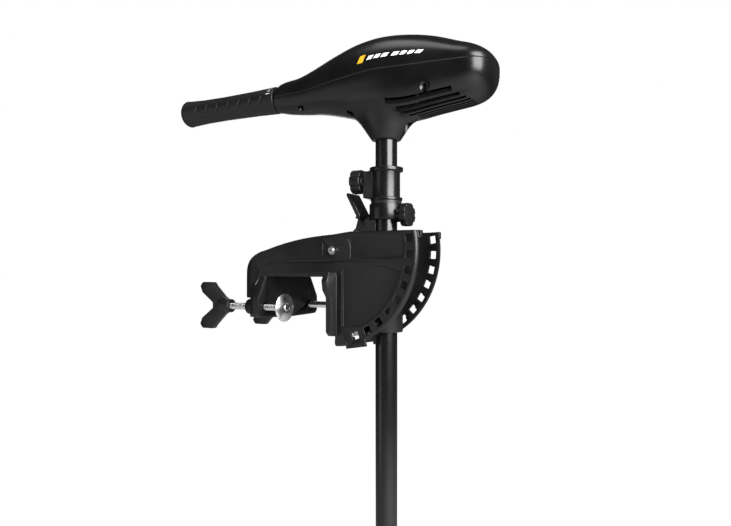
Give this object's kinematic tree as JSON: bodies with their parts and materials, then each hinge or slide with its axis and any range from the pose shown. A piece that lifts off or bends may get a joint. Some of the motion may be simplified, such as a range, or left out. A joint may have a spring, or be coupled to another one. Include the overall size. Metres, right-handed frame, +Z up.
{
  "type": "trolling motor",
  "caption": "Tiller-steered electric trolling motor with a lever-lock transom clamp bracket, telescoping twist grip, composite shaft and two-blade propeller.",
  "frame": {"origin": "centre of the underside of the bracket's saddle, where it sits on the transom", "axes": "+X aft, away from the boat; +Z up along the shaft; the tiller points to -X"},
  "size_m": [0.4871, 0.1607, 1.075],
  "materials": {
    "bracket_plastic": "satin glass-filled nylon",
    "hinge_plastic": "satin glass-filled nylon",
    "head_plastic": "fine satin moulded plastic",
    "grip_plastic": "satin moulded plastic",
    "knob_plastic": "satin moulded plastic",
    "bush_plastic": "acetal",
    "switch_plastic": "phenolic",
    "rotor_plastic": "nylon",
    "shaft_composite": "polished composite",
    "prop_plastic": "moulded composite",
    "zinc_steel": "zinc plated",
    "stainless": "bright",
    "painted_can": "satin black paint",
    "cast_black": "satin black paint on cast aluminium",
    "brass": "machined",
    "magnet": "ferrite",
    "laminations": "laminated steel",
    "copper": "machined copper",
    "carbon": "carbon",
    "fibre": "fibre board",
    "rubber": "matte rubber",
    "wire": "insulation"
  },
  "bodies": {
    "bracket": {"transom_bracket": "bracket_plastic", "pivot_bolt": "stainless", "pivot_nut": "stainless", "clamp_inserts": "brass"},
    "hinge": {"tilt_hinge": "hinge_plastic", "upper_bushing": "bush_plastic", "lower_bushing": "bush_plastic", "lever_pin": "stainless", "lock_spring": "stainless"},
    "tension": {"tension_screw": "zinc_steel", "tension_knob": "knob_plastic"},
    "lever": {"release_lever": "hinge_plastic"},
    "lock": {"lock_bar": "stainless"},
    "collar": {"depth_collar": "hinge_plastic"},
    "depth_clamp": {"depth_screw": "zinc_steel", "depth_knob": "knob_plastic"},
    "shaft": {"shaft_tube": "shaft_composite", "head_housing": "head_plastic", "head_cover": "head_plastic", "housing_screws": "stainless", "neck_screw": "stainless", "cable_grommet": "rubber", "speed_switch": "switch_plastic", "tiller_bushing": "bush_plastic", "motor_leads": "wire", "motor_can": "painted_can", "nose_cone": "cast_black", "rear_bell": "cast_black", "skeg": "cast_black", "can_seals": "rubber", "through_bolts": "stainless", "magnets": "magnet", "brush_plate": "fibre", "brushes": "carbon", "front_bearing": "brass", "rear_bearing": "brass", "shaft_seal": "rubber"},
    "tiller": {"tiller_tube": "switch_plastic"},
    "grip": {"tiller_grip": "grip_plastic", "grip_drive_tube": "zinc_steel"},
    "switch": {"switch_rotor": "rotor_plastic"},
    "rotor": {"motor_axle": "stainless", "armature": "laminations", "commutator": "copper", "drive_pin": "stainless", "propeller": "prop_plastic", "prop_washer": "stainless", "prop_nut": "knob_plastic"},
    "pad_left": {"clamp_pad_left": "zinc_steel"},
    "screw_left": {"clamp_screw_left": "zinc_steel", "clamp_knob_left": "knob_plastic"},
    "pad_right": {"clamp_pad_right": "zinc_steel"},
    "screw_right": {"clamp_screw_right": "zinc_steel", "clamp_knob_right": "knob_plastic"}
  },
  "joints": [
    {"name": "tilt", "type": "hinge", "parent": "bracket", "child": "hinge", "pos_m": [0.051, 0, 0.034], "axis": [0, -1, 0], "range_deg": [0, 78.72]},
    {"name": "tension_turn", "type": "hinge", "parent": "hinge", "child": "tension", "pos_m": [0.1433, 0, 0.079], "axis": [1, 0, 0], "range_deg": [-540, 180]},
    {"name": "lever_press", "type": "hinge", "parent": "hinge", "child": "lever", "pos_m": [0.075, 0, 0.052], "axis": [0, -1, 0], "range_deg": [0, 24], "stiffness_Nm_per_rad": 1.2, "springref_deg": -9.74},
    {"name": "lock_slide", "type": "slide", "parent": "hinge", "child": "lock", "axis": [0.309, 0, -0.9511], "range_m": [0, 0.0048], "deforming": ["lock_spring"]},
    {"name": "steering", "type": "hinge", "parent": "hinge", "child": "collar", "pos_m": [0.1133, 0, 0.0983], "axis": [0, 0, 1], "continuous": true},
    {"name": "depth_clamp_turn", "type": "hinge", "parent": "collar", "child": "depth_clamp", "pos_m": [0.07379, -0.00626, 0.1249], "axis": [-0.9877, -0.1564, 0], "range_deg": [0, 720]},
    {"name": "depth_slide", "type": "slide", "parent": "collar", "child": "shaft", "axis": [0, 0, 1], "range_m": [-0.03, 0.38]},
    {"name": "tiller_extend", "type": "slide", "parent": "shaft", "child": "tiller", "axis": [-0.987, -0.1563, -0.0384], "range_m": [0, 0.15]},
    {"name": "grip_twist", "type": "hinge", "parent": "tiller", "child": "grip", "pos_m": [-0.04473, -0.02503, 0.247], "axis": [-0.987, -0.1563, -0.0384], "range_deg": [-90, 150]},
    {"name": "switch_turn", "type": "hinge", "parent": "shaft", "child": "switch", "pos_m": [-0.04473, -0.02503, 0.247], "axis": [-0.987, -0.1563, -0.0384], "range_deg": [-90, 150]},
    {"name": "prop_spin", "type": "hinge", "parent": "shaft", "child": "rotor", "pos_m": [0.1133, 0, -0.626], "axis": [0.9877, 0.1564, 0], "continuous": true},
    {"name": "clamp_left_feed", "type": "slide", "parent": "bracket", "child": "pad_left", "axis": [1, 0, 0], "range_m": [-0.02381, 0.02064]},
    {"name": "clamp_left_turn", "type": "hinge", "parent": "pad_left", "child": "screw_left", "pos_m": [-0.107, -0.05, -0.0423], "axis": [1, 0, 0], "range_deg": [-5400, 4680]},
    {"name": "clamp_right_feed", "type": "slide", "parent": "bracket", "child": "pad_right", "axis": [1, 0, 0], "range_m": [-0.03651, 0.00953]},
    {"name": "clamp_right_turn", "type": "hinge", "parent": "pad_right", "child": "screw_right", "pos_m": [-0.095, 0.05, -0.0423], "axis": [1, 0, 0], "range_deg": [-8280, 2160]}
  ],
  "couplings": [
    {"joint": "lock_slide", "follows": "lever_press", "m_per_rad": 0.011459},
    {"joint": "switch_turn", "follows": "grip_twist", "ratio": 1},
    {"joint": "clamp_left_feed", "follows": "clamp_left_turn", "m_per_rad": 0.00025266},
    {"joint": "clamp_right_feed", "follows": "clamp_right_turn", "m_per_rad": 0.00025266}
  ]
}
